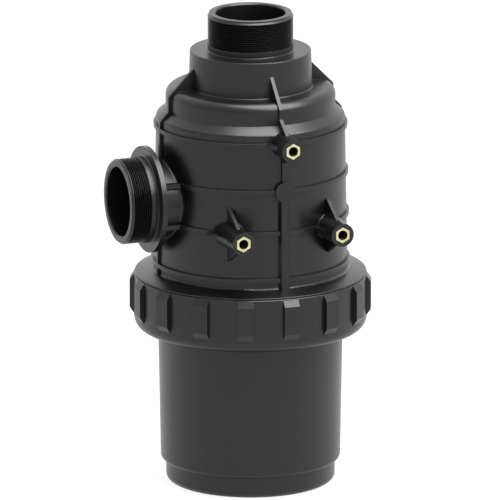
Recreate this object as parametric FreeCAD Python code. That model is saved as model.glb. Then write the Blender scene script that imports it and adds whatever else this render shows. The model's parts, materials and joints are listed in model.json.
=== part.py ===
import FreeCAD, Part
import math
import os

from FreeCAD import Vector

# Suction filter: a moulded head with two male threaded ports, a lugged ring nut,
# a deep bowl and a strainer cartridge between them.
# Millimetres, Z up, origin at the centre of the bowl's flat underside.
# The side port points along -X and the three mounting bosses face -Y.

# Port threads, G 3 parallel pipe thread: only its root cylinder is solid here
thread_major_diameter = 87.88
thread_depth = 1.479
port_wall = 6.6
port_mouth_chamfer = 1.3

# Top port, from the collar up to its mouth
top_band_length = 6.6
top_thread_length = 32.4

# Side port, from its face back to the body
side_port_stand_off = 44.9
side_thread_length = 21.5
side_band_length = 6.7
side_band_proud = 0.56
side_flange_width = 10.4
side_flange_thickness = 5.8
side_flange_step = 1.1
side_neck_wall = 5.64
side_web_inset = 0.6

# Head shell, stacked upwards from the flange that sits over the ring nut
wall = 4.5
flange_inset = 0.6
flange_edge = 1.5
flange_rise = 4.2
body_foot_radius = 99.6
body_height = 161.1
body_draft_degrees = 1.04
foot_fillet = 3.0
shoulder_rounding = 3.0
shoulder_height = 7.7
shoulder_inset = 9.68
dome_height = 22.5
dome_rounding = 9.2
collar_top_radius = 62.0
collar_spread = 1.5
collar_height = 37.7
inner_corner_drop = 1.8
inner_collar_rounding = 3.0

# Ring shaped ribs around the body, heights of their middles above the body's foot
ring_rib_width = 4.5
ring_rib_proud = 2.5
ring_rib_heights = (9.5, 58.85, 102.25, 151.55)

# Upright ribs and gussets on the head
gusset_thickness = 3.6
gusset_top_drop = 15.0
gusset_proud = 3.1
gusset_collar_proud = 0.4
gusset_end_rise = 1.7
gusset_knee_drop = 5.4
gusset_knee_rounding = 4.0
rib_proud = 2.7
rib_top_drop = 0.6
rib_top_rounding = 5.0
front_gusset_back = 16.0
front_gusset_start = 7.1
front_bar_face_width = 8.1
front_bar_foot_width = 12.4
front_bar_proud = 4.6
front_rib_face_width = 4.8
front_rib_foot_width = 6.0
front_disc_radius = 10.4

# Mounting bosses with hexagonal brass inserts
boss_stand_off = 2.3
boss_wall = 2.94
boss_draft_degrees = 1.8
boss_spread = 107.7
boss_drop_below_ring = 0.9
insert_across_flats = 15.7
insert_length = 18.0
insert_core_radius = 4.25
insert_mouth_chamfer = 0.35

# Webs beside the bosses: reach to the side at the wall, and how far the tip lies behind the boss's face
low_web_back = 13.1
low_web_up = 29.0
low_web_down = 28.0
top_web_down = 20.5
top_web_down_back = 16.0
side_web_reach = 19.5
side_web_back = 11.6
web_tip_set_in = 0.4

# Ring nut
nut_height = 56.8
nut_wall = 10.6
nut_rounding = 11.2
nut_crease = 0.4
nut_crease_height = 11.6
nut_lip = 8.5
nut_edge_chamfer = 0.6
nut_lead = 1.2
nut_lug_count = 16
nut_lug_proud = 4.2
nut_lug_width = 16.4
nut_lug_chamfer_height = 6.3
nut_lug_foot_height = 14.0
nut_lug_top_drop = 1.0
nut_lug_set_in = 0.1

# Coarse thread between head and nut: only its root cylinders are solid here
ring_thread_depth = 2.3
ring_thread_clearance = 0.4
skirt_step = 6.6
skirt_wall = 6.3
skirt_bore_rise = 2.0

# Bowl
bowl_exposed_height = 161.5
bowl_foot_height = 22.0
bowl_foot_step = 5.4
bowl_foot_fillet = 6.6
bowl_draft_degrees = 1.08
bowl_step_rounding = 5.3
bowl_floor = 5.0
bowl_floor_rounding = 3.0
bowl_inner_rounding = 2.0
bowl_flange_thickness = 8.0
bowl_flange_inset = 1.2
bowl_neck_height = 25.0
bowl_neck_wall = 6.5
bowl_neck_step = 4.6
seal_groove_height = 11.0
seal_groove_width = 5.6
seal_groove_depth = 3.8
seal_height = 5.0
seal_rounding = 1.6

# Outlet tube inside the head, and the ring on the bowl's floor that matches it
outlet_tube_length = 80.0
spigot_wall = 4.34
bowl_spigot_height = 20.0

# Strainer cartridge
spigot_engagement = 14.0
socket_chamfer = 1.5
end_ring_wall = 3.5
end_ring_height = 16.0
end_ring_rounding = 2.0
end_ring_groove_depth = 6.0
cage_step = 14.6
cage_wall = 3.0
cage_rib_count = 12
cage_rib_width = 6.0
cage_ring_count = 9
cage_ring_width = 6.0
mesh_wall = 0.4
lip_seal_height = 5.0
lip_seal_depth = 4.0
lip_seal_taper = 1.0
lip_seal_rounding = 0.6

# Small roundings of moulded edges
crisp_rounding = 0.4
rib_rounding = 0.15
flange_rounding = 0.7
edge_rounding = 1.0
root_rounding = 1.5

# Clearances, and how far a cutter runs past what it cuts
clamp_gap = 0.1
nut_gap = 0.5
slide_gap = 0.3
loose_gap = 0.5
socket_gap = 0.7
cartridge_gap = 0.2
seat_gap = 0.05
cut_past = 1.0

# Radii, from the body's foot outwards to the nut, the bosses and the side port
skirt_radius = body_foot_radius + skirt_step
skirt_bore_radius = skirt_radius - skirt_wall
nut_bore_radius = skirt_radius + ring_thread_depth + ring_thread_clearance
nut_radius = nut_bore_radius + nut_wall
nut_lug_radius = nut_radius + nut_lug_proud
flange_radius = nut_radius - flange_inset
boss_plane = nut_lug_radius + boss_stand_off
boss_radius = insert_across_flats / math.sqrt(3) + boss_wall
side_port_reach = body_foot_radius + side_port_stand_off

# Radii of the bowl, which fits in the head's skirt
bowl_neck_radius = skirt_bore_radius - loose_gap
bowl_flange_radius = skirt_radius - bowl_flange_inset
bowl_top_radius = bowl_neck_radius - bowl_neck_step

# Radii of the ports, the outlet tube and the cartridge that seats on it
thread_radius = thread_major_diameter / 2
thread_root_radius = thread_radius - thread_depth
port_bore_radius = thread_root_radius - port_wall
side_band_radius = thread_radius + side_band_proud
side_flange_radius = side_band_radius + side_flange_width
side_neck_radius = port_bore_radius + side_neck_wall
spigot_radius = port_bore_radius + spigot_wall
socket_radius = spigot_radius + socket_gap
cage_radius = socket_radius + lip_seal_depth + cage_step + cage_wall
mesh_radius = cage_radius + cartridge_gap + mesh_wall

# Heights of the stack
z_nut_bottom = bowl_exposed_height
z_nut_lip = z_nut_bottom + nut_lip
z_nut_top = z_nut_bottom + nut_height
z_bowl_flange = z_nut_lip + clamp_gap
z_bowl_flange_top = z_bowl_flange + bowl_flange_thickness
z_seal_groove = z_bowl_flange_top + seal_groove_height
z_skirt = z_bowl_flange_top + clamp_gap
z_bowl_top = z_bowl_flange_top + bowl_neck_height
z_flange = z_nut_top + nut_gap
z_flange_edge = z_flange + flange_edge
z_foot = z_flange_edge + flange_rise
z_shoulder = z_foot + body_height
z_dome_foot = z_shoulder + shoulder_height
z_dome = z_dome_foot + dome_height
z_collar = z_dome + collar_height
z_top_thread = z_collar + top_band_length
z_top = z_top_thread + top_thread_length

z_rings = [z_foot + height for height in ring_rib_heights]
z_side_port = (z_rings[1] + z_rings[2]) / 2
z_low_boss = z_rings[1] - boss_drop_below_ring
z_top_boss = z_rings[3] - boss_drop_below_ring

z_spigot = z_collar - wall - outlet_tube_length
z_cartridge = bowl_floor
z_cartridge_top = z_spigot + spigot_engagement


def body_radius(z):
    return body_foot_radius - (z - z_foot) * math.tan(math.radians(body_draft_degrees))


def bowl_radius(z):
    return bowl_top_radius - (z_bowl_flange - z) * math.tan(math.radians(bowl_draft_degrees))


dome_radius = body_radius(z_shoulder) - shoulder_inset
bowl_foot_radius = bowl_radius(bowl_foot_height) - bowl_foot_step


def reach_at(radius, side):
    """Distance out to a round wall at a sideways offset from its centre plane."""
    return math.sqrt(radius ** 2 - side ** 2)


def rounded_wire(corners):
    """Closed wire in the XZ plane from (x, z) or (x, z, rounding) corners."""
    points = [Vector(corner[0], 0, corner[1]) for corner in corners]
    roundings = [corner[2] if len(corner) > 2 else 0 for corner in corners]
    joints = []
    for index, point in enumerate(points):
        if roundings[index] == 0:
            joints.append((point, None, point))
            continue
        before = (points[index - 1] - point).normalize()
        after = (points[(index + 1) % len(points)] - point).normalize()
        half_angle = before.getAngle(after) / 2
        cut = roundings[index] / math.tan(half_angle)
        inset = roundings[index] / math.sin(half_angle) - roundings[index]
        middle = point + (before + after).normalize() * inset
        joints.append((point + before * cut, middle, point + after * cut))
    edges = []
    for index, (start, middle, end) in enumerate(joints):
        previous_end = joints[index - 1][2]
        if previous_end.distanceToPoint(start) > 1e-6:
            edges.append(Part.makeLine(previous_end, start))
        if middle is not None:
            edges.append(Part.Arc(start, middle, end).toShape())
    return Part.Wire(edges)


def turned(corners):
    """Solid of revolution about Z from a closed outline."""
    face = Part.Face(rounded_wire(corners))
    return face.revolve(Vector(0, 0, 0), Vector(0, 0, 1), 360)


def tube(outer, inner, z_low, z_high):
    body = Part.makeCylinder(outer, z_high - z_low, Vector(0, 0, z_low))
    hole = Part.makeCylinder(inner, z_high - z_low, Vector(0, 0, z_low))
    return body.cut(hole)


def plate(corners, thickness, degrees=0):
    """Upright plate of a (radius, height) outline, centred on its plane and turned about Z."""
    face = Part.Face(rounded_wire(corners))
    face.translate(Vector(0, -thickness / 2, 0))
    solid = face.extrude(Vector(0, thickness, 0))
    solid.rotate(Vector(0, 0, 0), Vector(0, 0, 1), degrees)
    return solid


def joined(shapes):
    return shapes[0].multiFuse(shapes[1:]).removeSplitter()


# The head's outside, turned
def head_outside():
    return turned([
        (0, z_skirt),
        (skirt_radius, z_skirt, edge_rounding),
        (skirt_radius, z_flange, edge_rounding),
        (flange_radius, z_flange, crisp_rounding),
        (flange_radius, z_flange_edge, flange_rounding),
        (body_radius(z_foot), z_foot, foot_fillet),
        (body_radius(z_shoulder), z_shoulder, shoulder_rounding),
        (dome_radius, z_dome_foot),
        (dome_radius, z_dome, dome_rounding),
        (collar_top_radius + collar_spread, z_dome, root_rounding),
        (collar_top_radius, z_collar, edge_rounding),
        (thread_radius, z_collar, edge_rounding),
        (thread_radius, z_top_thread),
        (thread_root_radius, z_top_thread),
        (thread_root_radius, z_top, crisp_rounding),
        (0, z_top),
    ])


# The head's hollow, which leaves the outlet tube standing in its middle
def head_hollow():
    z_step = z_bowl_top + skirt_bore_rise
    z_low = z_skirt - cut_past
    hollow = turned([
        (0, z_low),
        (skirt_bore_radius, z_low),
        (skirt_bore_radius, z_step, root_rounding),
        (body_radius(z_step) - wall, z_step),
        (body_radius(z_shoulder) - wall, z_shoulder - inner_corner_drop, shoulder_rounding),
        (dome_radius - wall, z_dome_foot - inner_corner_drop),
        (dome_radius - wall, z_dome - wall, dome_rounding - wall),
        (collar_top_radius + collar_spread - wall, z_dome - wall, edge_rounding),
        (collar_top_radius - wall, z_collar - wall, inner_collar_rounding),
        (0, z_collar - wall),
    ])
    outlet = Part.makeCylinder(spigot_radius, z_top - z_spigot, Vector(0, 0, z_spigot))
    return hollow.cut(outlet)


def ring_rib(z_middle):
    radius = body_radius(z_middle)
    half = ring_rib_width / 2
    return turned([
        (radius - wall / 2, z_middle - half),
        (radius + ring_rib_proud, z_middle - half, rib_rounding),
        (radius + ring_rib_proud, z_middle + half, rib_rounding),
        (radius - wall / 2, z_middle + half),
    ])


def gusset_outline(lower_edge, inner_edge):
    """A gusset from the collar down past the dome, then the given outer and inner corners."""
    z_tip = z_collar - gusset_top_drop
    inside = collar_top_radius - wall / 2
    return [
        (inside, z_tip),
        (collar_top_radius + gusset_collar_proud, z_tip),
        (dome_radius + gusset_proud, z_dome - gusset_knee_drop, gusset_knee_rounding),
        *lower_edge,
        *inner_edge,
        (body_radius(z_shoulder) - wall / 2, z_shoulder),
        (dome_radius - wall / 2, z_dome_foot),
        (dome_radius - wall / 2, z_dome - dome_rounding),
        (dome_radius - dome_rounding, z_dome - wall / 2),
        (inside, z_dome - wall / 2),
    ]


# Gusset and upright rib in one, down to the flange
def long_rib(degrees):
    lower_edge = [
        (dome_radius + gusset_proud, z_dome_foot + gusset_end_rise),
        (body_radius(z_shoulder) + rib_proud, z_shoulder - rib_top_drop, rib_top_rounding),
        (body_radius(z_foot) + rib_proud, z_flange_edge),
    ]
    inner_edge = [(body_radius(z_foot) - wall / 2, z_flange_edge)]
    return plate(gusset_outline(lower_edge, inner_edge), gusset_thickness, degrees)


# The front gusset runs out onto the top boss
def front_gusset():
    reach = boss_plane - front_gusset_back
    lower_edge = [
        (dome_radius + gusset_proud, z_dome_foot + front_gusset_start),
        (reach, z_top_boss + boss_radius),
        (reach, z_top_boss),
    ]
    inner_edge = [(body_radius(z_top_boss) - wall / 2, z_top_boss)]
    return plate(gusset_outline(lower_edge, inner_edge), gusset_thickness, -90)


def front_strip(z_low, z_high, face_width, foot_width, proud):
    """Upright bar on the front wall with sloping flanks, which leans with the wall."""
    radius = body_radius(z_low)
    depth = wall / 2
    face = face_width / 2
    foot = foot_width / 2
    root = foot + (foot - face) * depth / proud
    corners = [
        Vector(-root, -(radius - depth), z_low),
        Vector(-face, -(radius + proud), z_low),
        Vector(face, -(radius + proud), z_low),
        Vector(root, -(radius - depth), z_low),
    ]
    section = Part.Face(Part.makePolygon(corners + corners[:1]))
    return section.extrude(Vector(0, radius - body_radius(z_high), z_high - z_low))


def front_disc():
    face = body_radius(z_rings[2]) + front_bar_proud
    depth = front_bar_proud + wall / 2
    return Part.makeCylinder(front_disc_radius, depth, Vector(0, -face, z_rings[2]), Vector(0, 1, 0))


def boss(x, z):
    length = boss_plane - reach_at(body_radius(z) - wall, abs(x) + boss_radius)
    root_radius = boss_radius + length * math.tan(math.radians(boss_draft_degrees))
    return Part.makeCone(boss_radius, root_radius, length, Vector(x, -boss_plane, z), Vector(0, 1, 0))


def boss_web(x, z, turn, wall_reach, wall_side, tip_back, thickness):
    """Web beside a boss, from the wall to near the boss's front; turn 0 is up, 90 is +X."""
    depth = wall / 2
    tip_reach = boss_plane - tip_back
    tip_side = boss_radius - web_tip_set_in
    slope = (wall_side - tip_side) / (tip_reach - wall_reach)
    corners = [
        (wall_reach - depth, 0),
        (tip_reach, 0),
        (tip_reach, tip_side),
        (wall_reach - depth, wall_side + slope * depth),
    ]
    web = plate(corners, thickness, -90)
    web.rotate(Vector(0, 0, 0), Vector(0, 1, 0), turn)
    web.translate(Vector(x, 0, z))
    return web


def low_boss_webs(side):
    x = side * boss_spread / 2
    radius = body_radius(z_low_boss)
    upper = reach_at(body_radius(z_low_boss + low_web_up), x)
    lower = reach_at(body_radius(z_low_boss - low_web_down), x)
    outer = reach_at(radius, abs(x) + side_web_reach)
    inner = reach_at(radius, abs(x) - side_web_reach)
    return [
        boss_web(x, z_low_boss, 0, upper, low_web_up, low_web_back, gusset_thickness),
        boss_web(x, z_low_boss, 180, lower, low_web_down, low_web_back, gusset_thickness),
        boss_web(x, z_low_boss, 90 * side, outer, side_web_reach, side_web_back, ring_rib_width),
        boss_web(x, z_low_boss, -90 * side, inner, side_web_reach, side_web_back, ring_rib_width),
    ]


# The top boss's side webs continue the ring rib behind it
def top_boss_webs():
    lower = body_radius(z_top_boss - top_web_down)
    beside = reach_at(body_radius(z_rings[3]), side_web_reach)
    webs = [boss_web(0, z_top_boss, 180, lower, top_web_down, top_web_down_back, gusset_thickness)]
    for turn in (90, -90):
        webs.append(boss_web(0, z_rings[3], turn, beside, side_web_reach, side_web_back, ring_rib_width))
    return webs


# The side port's outside, turned about its own axis
def side_port_outside():
    d_thread = side_port_reach - side_thread_length
    d_flange = d_thread - side_band_length - side_flange_step
    d_back = d_flange - side_flange_thickness
    d_root = reach_at(body_radius(z_side_port) - wall, side_neck_radius)
    port = turned([
        (0, d_root),
        (side_neck_radius, d_root),
        (side_neck_radius, d_back),
        (side_flange_radius, d_back, crisp_rounding),
        (side_flange_radius, d_flange, crisp_rounding),
        (side_band_radius, d_flange, edge_rounding),
        (side_band_radius, d_thread),
        (thread_root_radius, d_thread),
        (thread_root_radius, side_port_reach, crisp_rounding),
        (0, side_port_reach),
    ])
    port.rotate(Vector(0, 0, 0), Vector(0, 1, 0), -90)
    port.translate(Vector(0, 0, z_side_port))
    web_reach = side_neck_radius - side_web_inset
    webs = []
    for z_ring in z_rings[1:3]:
        corner = Vector(-d_back, -web_reach, z_ring - ring_rib_width / 2)
        webs.append(Part.makeBox(d_back - d_root, 2 * web_reach, ring_rib_width, corner))
    return [port] + webs


def port_bore(length):
    """Cutter for a port: its bore and the chamfer at its mouth, mouth at height 0."""
    mouth = port_bore_radius + port_mouth_chamfer
    return turned([
        (0, -length),
        (port_bore_radius, -length),
        (port_bore_radius, -port_mouth_chamfer),
        (mouth, 0),
        (mouth, cut_past),
        (0, cut_past),
    ])


def insert_places():
    return {
        "insert_top": (0, z_top_boss),
        "insert_left": (-boss_spread / 2, z_low_boss),
        "insert_right": (boss_spread / 2, z_low_boss),
    }


def hexagon(x, z):
    """Hexagonal prism with a corner up, from the boss plane inwards."""
    corner_radius = insert_across_flats / math.sqrt(3)
    corners = []
    for step in range(7):
        angle = math.radians(90 + 60 * step)
        offset = Vector(corner_radius * math.cos(angle), 0, corner_radius * math.sin(angle))
        corners.append(Vector(x, -boss_plane, z) + offset)
    return Part.Face(Part.makePolygon(corners)).extrude(Vector(0, insert_length, 0))


def make_head():
    pieces = [head_outside()]
    pieces += [ring_rib(z) for z in z_rings]
    pieces += [long_rib(degrees) for degrees in (0, 90, 180)]
    pieces.append(front_gusset())
    pieces.append(front_strip(z_flange_edge, z_rings[2], front_bar_face_width,
                              front_bar_foot_width, front_bar_proud))
    pieces.append(front_strip(z_rings[2], z_top_boss, front_rib_face_width,
                              front_rib_foot_width, rib_proud))
    pieces.append(front_disc())
    pieces += [boss(x, z) for x, z in insert_places().values()]
    pieces += low_boss_webs(-1) + low_boss_webs(1) + top_boss_webs()
    pieces += side_port_outside()
    head = pieces[0].multiFuse(pieces[1:])
    head = head.cut(head_hollow())
    top_bore = port_bore(z_top - z_spigot + cut_past)
    top_bore.translate(Vector(0, 0, z_top))
    head = head.cut(top_bore)
    body_inside = reach_at(body_radius(z_side_port) - wall, port_bore_radius)
    side_bore = port_bore(side_port_reach - body_inside + cut_past)
    side_bore.rotate(Vector(0, 0, 0), Vector(0, 1, 0), -90)
    side_bore.translate(Vector(-side_port_reach, 0, z_side_port))
    head = head.cut(side_bore)
    for x, z in insert_places().values():
        head = head.cut(hexagon(x, z))
    return head.removeSplitter()


def make_insert(x, z):
    mouth_radius = insert_core_radius + insert_mouth_chamfer
    front = Vector(x, -boss_plane, z)
    inwards = Vector(0, 1, 0)
    core = Part.makeCylinder(insert_core_radius, insert_length, front, inwards)
    mouth = Part.makeCone(mouth_radius, insert_core_radius, insert_mouth_chamfer, front, inwards)
    return hexagon(x, z).cut(core).cut(mouth)


def make_ring_nut():
    lip_radius = bowl_top_radius + slide_gap
    body = turned([
        (lip_radius, z_nut_bottom, edge_rounding),
        (nut_radius - nut_crease, z_nut_bottom, nut_rounding),
        (nut_radius - nut_crease, z_nut_bottom + nut_crease_height),
        (nut_radius, z_nut_bottom + nut_crease_height + nut_crease),
        (nut_radius, z_nut_top - nut_edge_chamfer),
        (nut_radius - nut_edge_chamfer, z_nut_top),
        (nut_bore_radius + nut_lead, z_nut_top),
        (nut_bore_radius, z_nut_top - nut_lead),
        (nut_bore_radius, z_nut_lip, edge_rounding),
        (lip_radius, z_nut_lip),
    ])
    embed = nut_radius - nut_wall / 2
    z_lug_foot = z_nut_bottom + nut_lug_foot_height
    z_lug_top = z_nut_top - nut_lug_top_drop
    lug_corners = [
        (embed, z_lug_foot),
        (nut_radius - nut_lug_set_in, z_lug_foot),
        (nut_lug_radius, z_lug_foot + nut_lug_chamfer_height),
        (nut_lug_radius, z_lug_top - nut_lug_chamfer_height),
        (nut_radius - nut_lug_set_in, z_lug_top),
        (embed, z_lug_top),
    ]
    lugs = []
    for index in range(nut_lug_count):
        lugs.append(plate(lug_corners, nut_lug_width, -90 + index * 360 / nut_lug_count))
    return joined([body] + lugs)


def make_bowl():
    neck_inside = bowl_neck_radius - bowl_neck_wall
    groove_radius = bowl_neck_radius - seal_groove_depth
    outside = turned([
        (0, 0),
        (bowl_foot_radius, 0, bowl_foot_fillet),
        (bowl_foot_radius, bowl_foot_height),
        (bowl_radius(bowl_foot_height), bowl_foot_height, bowl_step_rounding),
        (bowl_radius(z_bowl_flange), z_bowl_flange),
        (bowl_flange_radius, z_bowl_flange, flange_rounding),
        (bowl_flange_radius, z_bowl_flange_top, flange_rounding),
        (bowl_neck_radius, z_bowl_flange_top),
        (bowl_neck_radius, z_seal_groove),
        (groove_radius, z_seal_groove),
        (groove_radius, z_seal_groove + seal_groove_width),
        (bowl_neck_radius, z_seal_groove + seal_groove_width),
        (bowl_neck_radius, z_bowl_top, root_rounding),
        (0, z_bowl_top),
    ])
    inside = turned([
        (0, bowl_floor),
        (bowl_foot_radius - wall, bowl_floor, bowl_floor_rounding),
        (bowl_foot_radius - wall, bowl_foot_height + wall / 2, bowl_inner_rounding),
        (bowl_radius(bowl_foot_height) - wall, bowl_foot_height + wall, bowl_inner_rounding),
        (bowl_radius(z_nut_bottom) - wall, z_nut_bottom),
        (neck_inside, z_bowl_flange_top),
        (neck_inside, z_bowl_top + cut_past),
        (0, z_bowl_top + cut_past),
    ])
    spigot = tube(spigot_radius, spigot_radius - spigot_wall, bowl_floor, bowl_floor + bowl_spigot_height)
    return joined([outside.cut(inside), spigot])


def make_bowl_seal():
    inner = bowl_neck_radius - seal_groove_depth + seat_gap
    outer = skirt_bore_radius - slide_gap
    return turned([
        (inner, z_seal_groove, seal_rounding),
        (outer, z_seal_groove, seal_rounding),
        (outer, z_seal_groove + seal_height, seal_rounding),
        (inner, z_seal_groove + seal_height, seal_rounding),
    ])


# An end ring of the cartridge, with its socket upwards at height 0 and the cage below
def end_ring():
    cage_inside = cage_radius - cage_wall - cartridge_gap
    mesh_outside = mesh_radius + cartridge_gap
    ring_radius = mesh_outside + end_ring_wall
    seal_low = -(end_ring_height + lip_seal_height) / 2
    seal_high = seal_low + lip_seal_height + cartridge_gap
    return turned([
        (socket_radius, -end_ring_height),
        (cage_inside, -end_ring_height),
        (cage_inside, -end_ring_height + end_ring_groove_depth),
        (mesh_outside, -end_ring_height + end_ring_groove_depth),
        (mesh_outside, -end_ring_height),
        (ring_radius, -end_ring_height, edge_rounding),
        (ring_radius, 0, end_ring_rounding),
        (socket_radius + socket_chamfer, 0),
        (socket_radius, -socket_chamfer),
        (socket_radius, seal_high),
        (socket_radius + lip_seal_depth, seal_high),
        (socket_radius + lip_seal_depth, seal_low),
        (socket_radius, seal_low),
    ])


def lip_seal():
    low = -(end_ring_height + lip_seal_height) / 2
    inner = spigot_radius + slide_gap
    outer = socket_radius + lip_seal_depth - seat_gap
    return turned([
        (inner + lip_seal_taper, low),
        (outer, low),
        (outer, low + lip_seal_height),
        (inner + lip_seal_taper, low + lip_seal_height),
        (inner, low + lip_seal_height / 2, lip_seal_rounding),
    ])


def placed_at_ends(shape):
    """The same moulding at both ends of the cartridge: upright at the top, turned over below."""
    upper = shape.copy()
    upper.translate(Vector(0, 0, z_cartridge_top))
    lower = shape.copy()
    lower.rotate(Vector(0, 0, 0), Vector(1, 0, 0), 180)
    lower.translate(Vector(0, 0, z_cartridge))
    return upper, lower


def sleeve_span():
    """Lowest and highest point of the cage and mesh, which end in the end rings' grooves."""
    depth = end_ring_height - end_ring_groove_depth
    return z_cartridge + depth, z_cartridge_top - depth


def make_cage():
    z_low, z_high = sleeve_span()
    cage = tube(cage_radius, cage_radius - cage_wall, z_low, z_high)
    pitch = (z_high - z_low - cage_ring_width) / (cage_ring_count - 1)
    opening = 2 * math.pi * cage_radius / cage_rib_count - cage_rib_width
    windows = []
    for column in range(cage_rib_count):
        middle = 360 / cage_rib_count * (column + 0.5)
        for row in range(cage_ring_count - 1):
            z_window = z_low + row * pitch + cage_ring_width
            corner = Vector(cage_radius - 2 * cage_wall, -opening / 2, z_window)
            window = Part.makeBox(3 * cage_wall, opening, pitch - cage_ring_width, corner)
            window.rotate(Vector(0, 0, 0), Vector(0, 0, 1), middle)
            windows.append(window)
    return cage.cut(Part.makeCompound(windows))


def make_mesh():
    z_low, z_high = sleeve_span()
    return tube(mesh_radius, mesh_radius - mesh_wall, z_low, z_high)


def all_parts():
    upper_ring, lower_ring = placed_at_ends(end_ring())
    upper_seal, lower_seal = placed_at_ends(lip_seal())
    parts = {
        "head": make_head(),
        "ring_nut": make_ring_nut(),
        "bowl": make_bowl(),
        "bowl_o_ring": make_bowl_seal(),
        "cartridge_upper_ring": upper_ring,
        "cartridge_lower_ring": lower_ring,
        "cartridge_upper_seal": upper_seal,
        "cartridge_lower_seal": lower_seal,
        "cartridge_cage": make_cage(),
        "cartridge_mesh": make_mesh(),
    }
    for name, (x, z) in insert_places().items():
        parts[name] = make_insert(x, z)
    return parts


os.makedirs("parts", exist_ok=True)
for name, shape in all_parts().items():
    solid_count = len(shape.Solids)
    box = shape.BoundBox
    print(f"{name:22s} valid {shape.isValid()} solids {solid_count} volume {shape.Volume / 1000:8.1f} cm3 "
          f"x {box.XMin:.1f}..{box.XMax:.1f} z {box.ZMin:.1f}..{box.ZMax:.1f}")
    shape.exportStep(f"parts/{name}.step")
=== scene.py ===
import bmesh
import bpy
import json
import math
from mathutils import Matrix, Vector


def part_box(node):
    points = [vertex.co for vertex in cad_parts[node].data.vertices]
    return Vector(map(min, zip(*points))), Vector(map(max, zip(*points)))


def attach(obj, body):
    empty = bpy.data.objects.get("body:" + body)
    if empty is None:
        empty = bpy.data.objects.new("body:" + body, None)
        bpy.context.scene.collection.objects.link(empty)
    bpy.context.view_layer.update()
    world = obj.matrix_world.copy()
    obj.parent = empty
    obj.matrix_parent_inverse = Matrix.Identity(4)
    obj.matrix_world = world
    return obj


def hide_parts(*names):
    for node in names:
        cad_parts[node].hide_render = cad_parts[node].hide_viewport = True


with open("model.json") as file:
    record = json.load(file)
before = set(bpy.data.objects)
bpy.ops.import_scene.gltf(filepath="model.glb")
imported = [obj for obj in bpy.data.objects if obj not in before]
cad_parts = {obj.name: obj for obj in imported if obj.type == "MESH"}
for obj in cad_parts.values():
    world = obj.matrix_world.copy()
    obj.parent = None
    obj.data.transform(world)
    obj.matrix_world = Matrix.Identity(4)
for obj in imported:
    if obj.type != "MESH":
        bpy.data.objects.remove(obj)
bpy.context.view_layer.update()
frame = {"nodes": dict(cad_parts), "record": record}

# Suction filter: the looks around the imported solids. Metres, Z up, the side port
# along -X and the bosses towards -Y.
mm = 0.001
mounts = {mount["name"]: mount for mount in frame["record"]["mounts"]}

# Port threads, G 3, and the chamfered ring that leads into each, a step below the mouth's edge
port_pitch = 2.309 * mm
port_crest_radius = 43.75 * mm
port_ridge_base = 2.25 * mm
port_ridge_crest = 0.25 * mm
port_steps = 120
port_lead_radius = 43.94 * mm
top_lead_step = 1.8 * mm
side_lead_step = 0.9 * mm
port_lead_land = 0.5 * mm
port_ring_steps = 144

# Coarse thread between the head's skirt and the ring nut
ring_pitch = 6.0 * mm
ring_depth = 2.3 * mm
ring_ridge_base = 3.6 * mm
ring_ridge_crest = 1.6 * mm
skirt_radius = 106.2 * mm
nut_bore_radius = 108.9 * mm
skirt_thread_rise = 2.3 * mm
skirt_thread_length = 34.0 * mm
nut_thread_rise = 10.0 * mm
nut_thread_length = 45.0 * mm
ring_steps = 144

# Ridges run out over part of a turn and are rooted a little under the wall.
# Edges of the pieces that bend more than the last angle are drawn sharp.
run_out_turns = 0.3
thinnest_ridge = 0.03
ridge_sink = 0.25 * mm
sharp_angle = math.radians(40)

# Brass inserts, M10
insert_pitch = 1.5 * mm
insert_thread_depth = 0.75 * mm
insert_thread_flat = 0.15
insert_mouth_radius = 5.1 * mm
insert_edge_chamfer = 0.6 * mm
insert_columns = 48
insert_rows_per_turn = 8

# The head's leaning wall, which the fillets at the roots of the lower bosses and the side neck follow
wall_foot_radius = 99.6 * mm
wall_foot_height = 224.5 * mm
wall_draft = math.radians(1.04)
boss_face_radius = 12.0 * mm
boss_draft = math.radians(1.8)
boss_fillet = 1.8 * mm
neck_radius = 41.5 * mm
neck_fillet = 2.2 * mm
fillet_columns = 72
fillet_arc_steps = 5
fillet_sink = 0.5 * mm


def wall_radius(height):
    return wall_foot_radius - (height - wall_foot_height) * math.tan(wall_draft)


# Materials
def new_material(name):
    material = bpy.data.materials.new(name)
    material.use_nodes = True
    tree = material.node_tree
    return material, tree, tree.nodes["Principled BSDF"]


def noise(tree, place, scale, detail):
    texture = tree.nodes.new("ShaderNodeTexNoise")
    texture.inputs["Scale"].default_value = scale
    texture.inputs["Detail"].default_value = detail
    tree.links.new(place, texture.inputs["Vector"])
    return texture.outputs["Fac"]


def ramp(tree, value, low, high, low_at=0.3, high_at=0.7):
    """Colours or greys between low and high as the value goes from low_at to high_at."""
    node = tree.nodes.new("ShaderNodeValToRGB")
    node.color_ramp.elements[0].position = low_at
    node.color_ramp.elements[1].position = high_at
    node.color_ramp.elements[0].color = low
    node.color_ramp.elements[1].color = high
    tree.links.new(value, node.inputs["Fac"])
    return node.outputs["Color"]


def grey(level):
    return (level, level, level, 1.0)


def bump(tree, height, distance, strength, normal=None):
    node = tree.nodes.new("ShaderNodeBump")
    node.inputs["Distance"].default_value = distance
    node.inputs["Strength"].default_value = strength
    tree.links.new(height, node.inputs["Height"])
    if normal is not None:
        tree.links.new(normal, node.inputs["Normal"])
    return node.outputs["Normal"]


def rounded_edges(tree, radius):
    node = tree.nodes.new("ShaderNodeBevel")
    node.samples = 6
    node.inputs["Radius"].default_value = radius
    return node.outputs["Normal"]


# Moulded plastic: fine spark-eroded grain, slow cloudy changes in shade and gloss, soft edges
shade_spread = 0.1
gloss_spread = 0.03


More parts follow.
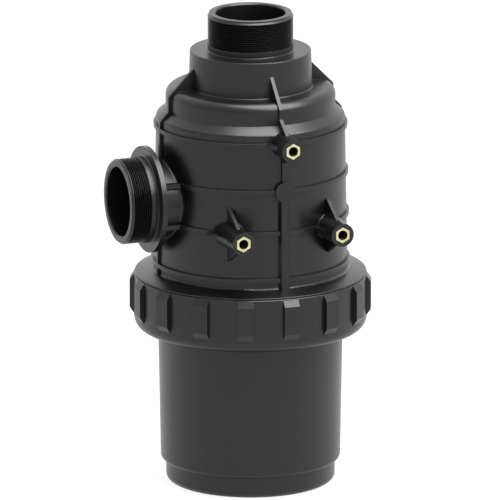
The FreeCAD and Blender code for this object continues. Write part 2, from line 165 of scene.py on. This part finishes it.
def moulded_plastic(name, colour, roughness, edge_radius, specular, grain_height=0.03 * mm):
    material, tree, shader = new_material(name)
    place = tree.nodes.new("ShaderNodeTexCoord").outputs["Object"]
    clouds = noise(tree, place, scale=14.0, detail=3.0)
    grain = noise(tree, place, scale=1400.0, detail=2.0)
    low = tuple(part * (1 - shade_spread) for part in colour) + (1.0,)
    high = tuple(part * (1 + shade_spread) for part in colour) + (1.0,)
    tree.links.new(ramp(tree, clouds, low, high), shader.inputs["Base Color"])
    gloss = ramp(tree, clouds, grey(roughness - gloss_spread), grey(roughness + gloss_spread))
    tree.links.new(gloss, shader.inputs["Roughness"])
    edges = rounded_edges(tree, edge_radius)
    normal = bump(tree, grain, distance=grain_height, strength=0.35, normal=edges)
    tree.links.new(normal, shader.inputs["Normal"])
    shader.inputs["Specular IOR Level"].default_value = specular
    return material


def rubber(name):
    material, tree, shader = new_material(name)
    place = tree.nodes.new("ShaderNodeTexCoord").outputs["Object"]
    clouds = noise(tree, place, scale=60.0, detail=3.0)
    tree.links.new(ramp(tree, clouds, grey(0.008), grey(0.014)), shader.inputs["Base Color"])
    tree.links.new(ramp(tree, clouds, grey(0.5), grey(0.62)), shader.inputs["Roughness"])
    return material


# Turned brass: fine tool marks and slow changes between two shades
def brass(name, low, high):
    material, tree, shader = new_material(name)
    place = tree.nodes.new("ShaderNodeTexCoord").outputs["Object"]
    clouds = noise(tree, place, scale=250.0, detail=3.0)
    tree.links.new(ramp(tree, clouds, low, high), shader.inputs["Base Color"])
    tree.links.new(ramp(tree, clouds, grey(0.28), grey(0.4)), shader.inputs["Roughness"])
    marks = noise(tree, place, scale=3000.0, detail=2.0)
    tree.links.new(bump(tree, marks, distance=0.01 * mm, strength=0.3), shader.inputs["Normal"])
    shader.inputs["Metallic"].default_value = 1.0
    return material


# Woven wire: two families of ridges, around the sleeve and along it
def woven_steel(name, radius):
    material, tree, shader = new_material(name)
    place = tree.nodes.new("ShaderNodeTexCoord").outputs["Object"]
    split = tree.nodes.new("ShaderNodeSeparateXYZ")
    tree.links.new(place, split.inputs["Vector"])
    wires = []
    turn = tree.nodes.new("ShaderNodeMath")
    turn.operation = "ARCTAN2"
    tree.links.new(split.outputs["Y"], turn.inputs[0])
    tree.links.new(split.outputs["X"], turn.inputs[1])
    spacing = 0.9 * mm
    for source, per_wire in ((turn.outputs[0], spacing / radius), (split.outputs["Z"], spacing)):
        phase = tree.nodes.new("ShaderNodeMath")
        phase.operation = "MULTIPLY"
        phase.inputs[1].default_value = math.tau / per_wire
        tree.links.new(source, phase.inputs[0])
        wave = tree.nodes.new("ShaderNodeMath")
        wave.operation = "COSINE"
        tree.links.new(phase.outputs[0], wave.inputs[0])
        wires.append(wave.outputs[0])
    top = tree.nodes.new("ShaderNodeMath")
    top.operation = "MAXIMUM"
    tree.links.new(wires[0], top.inputs[0])
    tree.links.new(wires[1], top.inputs[1])
    colour = ramp(tree, top.outputs[0], grey(0.03), (0.55, 0.55, 0.53, 1.0), low_at=0.1, high_at=0.8)
    tree.links.new(colour, shader.inputs["Base Color"])
    tree.links.new(bump(tree, top.outputs[0], distance=0.1 * mm, strength=0.8), shader.inputs["Normal"])
    shader.inputs["Metallic"].default_value = 0.9
    shader.inputs["Roughness"].default_value = 0.35
    return material


dark_grey = (0.0022, 0.0022, 0.0024)
dark_blue = (0.02, 0.07, 0.22)
head_finish = moulded_plastic("head_plastic", dark_grey, roughness=0.34, edge_radius=0.15 * mm, specular=0.46)
nut_finish = moulded_plastic("nut_plastic", dark_grey, roughness=0.34, edge_radius=0.2 * mm, specular=0.46)
bowl_finish = moulded_plastic("bowl_plastic", dark_grey, roughness=0.34, edge_radius=0.6 * mm, specular=0.46)
# The thread plastic reflects about a quarter as much as the head's: painted shade standing in for the shade
# deep in the thread's grooves
shaded_thread_finish = moulded_plastic("thread_plastic_painted_shade", dark_grey, roughness=0.3, edge_radius=0.04 * mm,
                                specular=0.12, grain_height=0.005 * mm)
cartridge_finish = moulded_plastic("cartridge_plastic", dark_blue, roughness=0.4, edge_radius=0.4 * mm,
                                   specular=0.5)
rubber_finish = rubber("seal_rubber")
brass_finish = brass("insert_brass", (0.57, 0.52, 0.28, 1), (0.71, 0.67, 0.42, 1))
# Nearly black brass: painted shade for the unlit inside of the insert's hole and the shadow around its edge
brass_painted_shade_finish = brass("insert_painted_shade", (0.008, 0.006, 0.003, 1), (0.014, 0.011, 0.005, 1))
mesh_finish = woven_steel("mesh_steel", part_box("cartridge_mesh")[1].x)

finishes = {
    "head": head_finish,
    "ring_nut": nut_finish,
    "bowl": bowl_finish,
    "bowl_o_ring": rubber_finish,
    "cartridge_upper_ring": cartridge_finish,
    "cartridge_lower_ring": cartridge_finish,
    "cartridge_upper_seal": rubber_finish,
    "cartridge_lower_seal": rubber_finish,
    "cartridge_cage": cartridge_finish,
    "cartridge_mesh": mesh_finish,
    "insert_top": brass_finish,
    "insert_left": brass_finish,
    "insert_right": brass_finish,
}
for node, finish in finishes.items():
    for slot in frame["nodes"][node].material_slots:
        slot.material = finish


# Mesh pieces
def skin(sections, closed):
    """Points and faces of a band through sections of equal length, capped at its ends if it is open."""
    count = len(sections[0])
    points = [point for section in sections for point in section]
    faces = []
    spans = len(sections) if closed else len(sections) - 1
    for span in range(spans):
        here = span * count
        there = (span + 1) % len(sections) * count
        for corner in range(count):
            after = (corner + 1) % count
            faces.append((here + corner, here + after, there + after, there + corner))
    if not closed:
        faces.append(tuple(range(count)))
        faces.append(tuple(range(len(points) - count, len(points))))
    return points, faces


def new_piece(name, sections, closed, finish, body):
    points, faces = skin(sections, closed)
    mesh = bpy.data.meshes.new(name)
    mesh.from_pydata(points, [], faces)
    edit = bmesh.new()
    edit.from_mesh(mesh)
    bmesh.ops.recalc_face_normals(edit, faces=edit.faces)
    edit.to_mesh(mesh)
    edit.free()
    mesh.shade_smooth()
    mesh.set_sharp_from_angle(angle=sharp_angle)
    mesh.materials.append(finish)
    piece = bpy.data.objects.new(name, mesh)
    bpy.context.scene.collection.objects.link(piece)
    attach(piece, body)
    return piece


def helix(root, crest, pitch, low, length, base, tip, steps_per_turn):
    """Sections of a right hand ridge about Z that stands from root to crest."""
    turns = (length - base) / pitch
    steps = round(turns * steps_per_turn)
    sink = math.copysign(ridge_sink, crest - root)
    sections = []
    for step in range(steps + 1):
        turn = turns * step / steps
        angle = math.tau * turn
        middle = low + base / 2 + pitch * turn
        share = min(turn, turns - turn) / run_out_turns
        share = min(max(share, thinnest_ridge), 1.0)
        peak = root + (crest - root) * share
        profile = [
            (root - sink, -base / 2),
            (root, -base / 2),
            (peak, -tip / 2),
            (peak, tip / 2),
            (root, base / 2),
            (root - sink, base / 2),
        ]
        sections.append([Vector((radius * math.cos(angle), radius * math.sin(angle), middle + rise))
                         for radius, rise in profile])
    return sections


def along(sections, place):
    return [[place @ point for point in section] for section in sections]


def ring_about_z(profile, steps):
    """Sections of a closed ring about Z through (radius, height) points."""
    sections = []
    for step in range(steps):
        angle = math.tau * step / steps
        sections.append([Vector((radius * math.cos(angle), radius * math.sin(angle), height))
                         for radius, height in profile])
    return sections


# The fine thread of a port, on the root cylinder that its mount names, and its lead ring at the mouth.
# The ridges begin inside the band behind the thread and end inside the lead ring.
def port_thread(name, mouth, lead_step):
    mount = mounts[name]
    root = mount["dims"]["r_mm"] * mm
    band = -mount["dims"]["length_mm"] * mm / 2
    turn = Vector((0, 0, 1)).rotation_difference(Vector(mount["axis"])).to_matrix().to_4x4()
    place = Matrix.Translation(Vector(mount["pos_m"])) @ turn
    depth = port_lead_radius - root
    foot = mouth - lead_step - depth - port_lead_land
    ridge = helix(root, port_crest_radius, port_pitch, band - port_ridge_base,
                  foot - band + 2 * port_ridge_base, port_ridge_base, port_ridge_crest, port_steps)
    new_piece(name + "_thread", along(ridge, place), False, shaded_thread_finish, "head")
    lead = ring_about_z([
        (root - 2 * ridge_sink, mouth - lead_step),
        (root, mouth - lead_step),
        (port_lead_radius, mouth - lead_step - depth),
        (port_lead_radius, foot),
        (root - 2 * ridge_sink, foot - depth / 2),
    ], port_ring_steps)
    new_piece(name + "_lead", along(lead, place), True, head_finish, "head")


head_low, head_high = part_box("head")
port_thread("top_port", head_high.z - mounts["top_port"]["pos_m"][2], top_lead_step)
port_thread("side_port", mounts["side_port"]["pos_m"][0] - head_low.x, side_lead_step)


# The coarse thread: the nut's ridges lie half a pitch from the skirt's
def ring_threads():
    skirt_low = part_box("head")[0].z + skirt_thread_rise
    nut_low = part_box("ring_nut")[0].z + nut_thread_rise
    skirt = helix(skirt_radius, skirt_radius + ring_depth, ring_pitch, skirt_low,
                  skirt_thread_length, ring_ridge_base, ring_ridge_crest, ring_steps)
    new_piece("skirt_thread", skirt, False, head_finish, "head")
    apart = (skirt_low - nut_low) % ring_pitch
    nut_low += apart - ring_pitch / 2
    nut = helix(nut_bore_radius, nut_bore_radius - ring_depth, ring_pitch, nut_low,
                nut_thread_length, ring_ridge_base, ring_ridge_crest, ring_steps)
    new_piece("nut_thread", nut, False, nut_finish, "ring_nut")


ring_threads()


# A brass insert with its thread cut and its edges chamfered
def insert(name):
    low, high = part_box(name)
    mount = mounts[name]
    core = mount["dims"]["r_mm"] * mm
    flat = (high.x - low.x) / 2
    depth = high.y - low.y
    centre = Vector(mount["pos_m"])

    def ring(radius_at, inwards):
        points = []
        for column in range(insert_columns):
            angle = math.tau * column / insert_columns
            radius = radius_at(angle)
            points.append(Vector((centre.x + radius * math.cos(angle), low.y + inwards,
                                  centre.z + radius * math.sin(angle))))
        return points

    def hexagon_up(apothem):
        return lambda angle: apothem / math.cos((angle - math.tau / 4) % (math.tau / 6) - math.tau / 12)

    def circle(radius):
        return lambda angle: radius

    def threaded(inwards):
        def radius_at(angle):
            phase = (inwards / insert_pitch + angle / math.tau) % 1.0
            share = abs(2 * phase - 1) * (1 + 2 * insert_thread_flat) - insert_thread_flat
            return core + insert_thread_depth * min(max(share, 0.0), 1.0)
        return radius_at

    mouth = insert_mouth_radius - core
    sections = [
        ring(hexagon_up(flat), depth),
        ring(hexagon_up(flat), insert_edge_chamfer),
        ring(hexagon_up(flat - insert_edge_chamfer), 0.0),
        ring(circle(insert_mouth_radius), 0.0),
        ring(circle(core), mouth),
    ]
    rows = int((depth - 2 * mouth) / insert_pitch) * insert_rows_per_turn
    for row in range(1, rows):
        inwards = mouth + (depth - 2 * mouth) * row / rows
        sections.append(ring(threaded(inwards), inwards))
    sections.append(ring(circle(core), depth - mouth))
    sections.append(ring(circle(core), depth))
    piece = new_piece(name + "_threaded", sections, True, brass_finish, "head")
    piece.data.materials.append(brass_painted_shade_finish)
    # Only the flat front face is bright; the chamfers, the sides and the hole take the darker finish, painted
    # shade for the unlit hole and the shadowed edge around the face
    for face in piece.data.polygons:
        if face.center.y > low.y + insert_edge_chamfer / 4:
            face.material_index = 1
    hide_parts(name)


for insert_name in ("insert_top", "insert_left", "insert_right"):
    insert(insert_name)


# Fillet where a round boss or neck meets the leaning wall; the outline is closed on itself
def root_fillet(name, axis, side, centre_side, centre_height, face_reach, face_radius, draft, size):
    def on_wall(angle, radius):
        offset = centre_side + radius * math.cos(angle)
        height = centre_height + radius * math.sin(angle)
        reach = math.sqrt(wall_radius(height) ** 2 - offset ** 2)
        return side * offset + axis * reach + Vector((0, 0, height))

    sections = []
    for column in range(fillet_columns):
        angle = math.tau * column / fillet_columns
        root = on_wall(angle, face_radius)
        radius = face_radius + (face_reach - root.dot(axis)) * math.tan(draft)
        root = on_wall(angle, radius)
        outer = on_wall(angle, radius + size)
        upper = root + axis * size
        towards = (outer - root).normalized()
        arc = []
        for step in range(fillet_arc_steps + 1):
            share = step / fillet_arc_steps
            arc.append(upper * (1 - share) ** 2 + root * 2 * share * (1 - share) + outer * share ** 2)
        arc.append(outer - axis * fillet_sink)
        arc.append(root - axis * fillet_sink - towards * fillet_sink)
        arc.append(upper - towards * fillet_sink)
        sections.append(arc)
    new_piece(name, sections, True, head_finish, "head")


for boss_name in ("insert_left", "insert_right"):
    boss_place = mounts[boss_name]["pos_m"]
    root_fillet("boss_fillet_" + boss_name.split("_")[1], Vector((0, -1, 0)), Vector((1, 0, 0)),
                boss_place[0], boss_place[2], -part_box(boss_name)[0].y,
                boss_face_radius, boss_draft, boss_fillet)
root_fillet("side_neck_fillet", Vector((-1, 0, 0)), Vector((0, 1, 0)), 0.0, mounts["side_port"]["pos_m"][2],
            -mounts["side_port"]["pos_m"][0], neck_radius, 0.0, neck_fillet)

# Camera at the photograph's angle: a long lens, a little above the filter and to its left
camera_azimuth = math.radians(-20.3)
camera_elevation = math.radians(14.65)
camera_distance = 21.354
camera_target = Vector((0, 0, 0.241))
picture_pixels = 500
picture_shift_pixels = 0.45
camera_back = Vector((
    math.sin(camera_azimuth) * math.cos(camera_elevation),
    -math.cos(camera_azimuth) * math.cos(camera_elevation),
    math.sin(camera_elevation),
))
camera_data = bpy.data.cameras.new("camera")
camera = bpy.data.objects.new("camera", camera_data)
bpy.context.scene.collection.objects.link(camera)
camera.location = camera_target + camera_back * camera_distance
camera.rotation_euler = camera_back.to_track_quat("Z", "Y").to_euler()
camera_data.sensor_width = 36
camera_data.lens = 1500
camera_data.clip_end = 200
camera_data.shift_x = -picture_shift_pixels / picture_pixels
bpy.context.scene.camera = camera


# Floor: one large pale sheet that glows a little, so that it shows white
floor_half = 60.0
floor_glow = 0.9


def make_floor():
    corners = [
        (-floor_half, -floor_half, 0),
        (floor_half, -floor_half, 0),
        (floor_half, floor_half, 0),
        (-floor_half, floor_half, 0),
    ]
    mesh = bpy.data.meshes.new("floor")
    mesh.from_pydata(corners, [], [(0, 1, 2, 3)])
    floor = bpy.data.objects.new("floor", mesh)
    bpy.context.scene.collection.objects.link(floor)
    material, tree, shader = new_material("floor_paint")
    shader.inputs["Base Color"].default_value = (0.08, 0.08, 0.08, 1)
    shader.inputs["Roughness"].default_value = 0.9
    shader.inputs["Emission Color"].default_value = (1, 1, 1, 1)
    shader.inputs["Emission Strength"].default_value = floor_glow
    mesh.materials.append(material)


make_floor()


# Light: a white room, dimmer to the left of the camera, and one long soft light overhead,
# which leans to the camera's right and towards it
room_strength = 1.3
room_dimmest = 0.55
room_dim_azimuth = camera_azimuth - math.radians(30)
light_right = 0.38
light_towards = 0.27
light_up = 0.885
light_distance = 1.7
light_target = Vector((0, 0, 0.35))
light_width = 1.55
light_length = 2.6
light_power = 84


def make_room():
    world = bpy.data.worlds.new("room")
    bpy.context.scene.world = world
    world.use_nodes = True
    tree = world.node_tree
    background = tree.nodes["Background"]
    direction = tree.nodes.new("ShaderNodeTexCoord").outputs["Generated"]
    facing = tree.nodes.new("ShaderNodeVectorMath")
    facing.operation = "DOT_PRODUCT"
    facing.inputs[1].default_value = (math.sin(room_dim_azimuth), -math.cos(room_dim_azimuth), 0)
    tree.links.new(direction, facing.inputs[0])
    spread = tree.nodes.new("ShaderNodeMapRange")
    spread.inputs["From Min"].default_value = -1
    spread.inputs["From Max"].default_value = 1
    tree.links.new(facing.outputs["Value"], spread.inputs["Value"])
    shade = ramp(tree, spread.outputs["Result"], grey(1.0), grey(room_dimmest), low_at=0.3, high_at=0.9)
    tree.links.new(shade, background.inputs["Color"])
    background.inputs["Strength"].default_value = room_strength


def make_light():
    data = bpy.data.lights.new("overhead", "AREA")
    data.shape = "ELLIPSE"
    data.size = light_width
    data.size_y = light_length
    data.energy = light_power
    light = bpy.data.objects.new("overhead", data)
    bpy.context.scene.collection.objects.link(light)
    right = Vector((math.cos(camera_azimuth), math.sin(camera_azimuth), 0))
    towards = Vector((math.sin(camera_azimuth), -math.cos(camera_azimuth), 0))
    direction = right * light_right + towards * light_towards + Vector((0, 0, light_up))
    light.location = light_target + direction * light_distance
    light.rotation_euler = direction.to_track_quat("Z", "Y").to_euler()


make_room()
make_light()
bpy.context.scene.view_settings.view_transform = "Standard"
